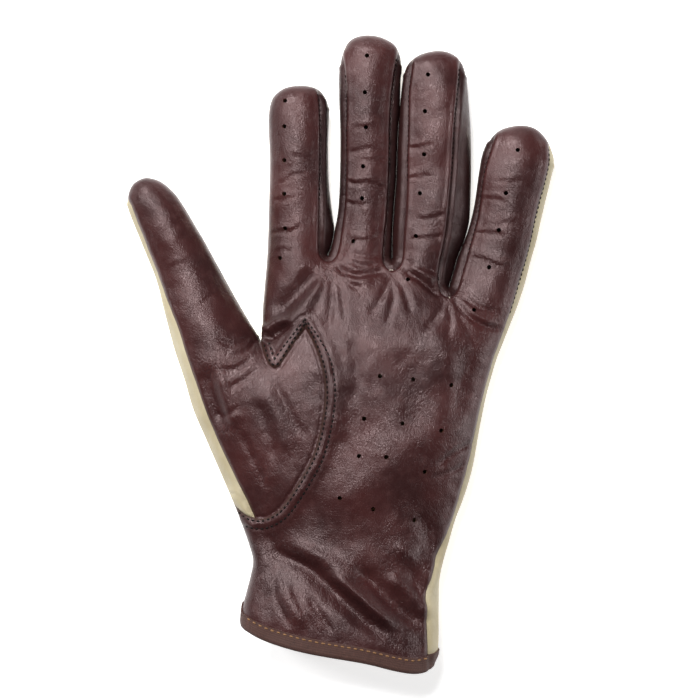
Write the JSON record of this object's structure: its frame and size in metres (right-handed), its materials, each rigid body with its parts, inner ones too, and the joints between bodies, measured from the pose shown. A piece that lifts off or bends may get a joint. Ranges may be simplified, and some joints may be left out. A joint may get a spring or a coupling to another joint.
{
  "type": "leather driving glove",
  "caption": "Left leather glove with a brown perforated palm, cream back, sewn-in thumb and bound wrist; fingers and thumb bend at two creases each.",
  "frame": {"origin": "bottom centre of the glove's box, on the surface that its back rests on", "axes": "+Z out of the palm, +Y towards the fingertips, +X towards the little finger"},
  "size_m": [0.1653, 0.2468, 0.0383],
  "materials": {
    "brown_leather": "smooth glossy dark brown nappa with fine creases and round perforations",
    "cream_leather": "smooth satin cream nappa",
    "brown_tape": "ribbed woven binding tape",
    "elastic": "flat knitted elastic",
    "tan_thread": "matt sewing thread",
    "black_thread": "matt sewing thread"
  },
  "bodies": {
    "hand": {"palm_panel": "brown_leather", "back_panel": "cream_leather", "thumb_root_palm": "brown_leather", "index_middle_crotch": "brown_leather", "middle_ring_crotch": "brown_leather", "ring_little_crotch": "brown_leather", "wrist_binding": "brown_tape", "wrist_elastic": "elastic", "hem_stitching": "tan_thread", "thumb_stitching": "black_thread"},
    "index_base": {"index_base_palm": "brown_leather", "index_base_back": "cream_leather", "index_base_fourchettes": "brown_leather"},
    "index_tip": {"index_tip_palm": "brown_leather", "index_tip_back": "cream_leather", "index_tip_fourchettes": "brown_leather"},
    "middle_base": {"middle_base_palm": "brown_leather", "middle_base_back": "cream_leather", "middle_base_fourchettes": "brown_leather"},
    "middle_tip": {"middle_tip_palm": "brown_leather", "middle_tip_back": "cream_leather", "middle_tip_fourchettes": "brown_leather"},
    "ring_base": {"ring_base_palm": "brown_leather", "ring_base_back": "cream_leather", "ring_base_fourchettes": "brown_leather"},
    "ring_tip": {"ring_tip_palm": "brown_leather", "ring_tip_back": "cream_leather", "ring_tip_fourchettes": "brown_leather"},
    "little_base": {"little_base_palm": "brown_leather", "little_base_back": "cream_leather", "little_base_fourchettes": "brown_leather"},
    "little_tip": {"little_tip_palm": "brown_leather", "little_tip_back": "cream_leather", "little_tip_fourchettes": "brown_leather"},
    "thumb_base": {"thumb_base_palm": "brown_leather", "thumb_base_back": "cream_leather"},
    "thumb_tip": {"thumb_tip_palm": "brown_leather", "thumb_tip_back": "cream_leather"}
  },
  "joints": [
    {"name": "index_knuckle", "type": "hinge", "parent": "hand", "child": "index_base", "pos_m": [-0.0176, 0.0346, 0.011], "axis": [0.9994, -0.0349, 0], "range_deg": [0, 75]},
    {"name": "index_middle_joint", "type": "hinge", "parent": "index_base", "child": "index_tip", "pos_m": [-0.01682, 0.06495, 0.01], "axis": [0.9994, -0.0349, 0], "range_deg": [0, 80]},
    {"name": "middle_knuckle", "type": "hinge", "parent": "hand", "child": "middle_base", "pos_m": [0.0064, 0.0334, 0.011], "axis": [0.9974, -0.0715, 0], "range_deg": [0, 75]},
    {"name": "middle_middle_joint", "type": "hinge", "parent": "middle_base", "child": "middle_tip", "pos_m": [0.0113, 0.07287, 0.01], "axis": [0.9974, -0.0715, 0], "range_deg": [0, 80]},
    {"name": "ring_knuckle", "type": "hinge", "parent": "hand", "child": "ring_base", "pos_m": [0.0299, 0.0288, 0.011], "axis": [0.9974, -0.0715, 0], "range_deg": [0, 75]},
    {"name": "ring_middle_joint", "type": "hinge", "parent": "ring_base", "child": "ring_tip", "pos_m": [0.03606, 0.06735, 0.01], "axis": [0.9974, -0.0715, 0], "range_deg": [0, 80]},
    {"name": "little_knuckle", "type": "hinge", "parent": "hand", "child": "little_base", "pos_m": [0.056, 0.0186, 0.011], "axis": [0.9903, -0.1392, 0], "range_deg": [0, 75]},
    {"name": "little_middle_joint", "type": "hinge", "parent": "little_base", "child": "little_tip", "pos_m": [0.065, 0.04816, 0.01], "axis": [0.9903, -0.1392, 0], "range_deg": [0, 80]},
    {"name": "thumb_root_joint", "type": "hinge", "parent": "hand", "child": "thumb_base", "pos_m": [-0.0476, 0.003, 0.0115], "axis": [0.9178, 0.3971, 0], "range_deg": [0, 40]},
    {"name": "thumb_middle_joint", "type": "hinge", "parent": "thumb_base", "child": "thumb_tip", "pos_m": [-0.06206, 0.03641, 0.0105], "axis": [0.9178, 0.3971, 0], "range_deg": [0, 65]}
  ]
}
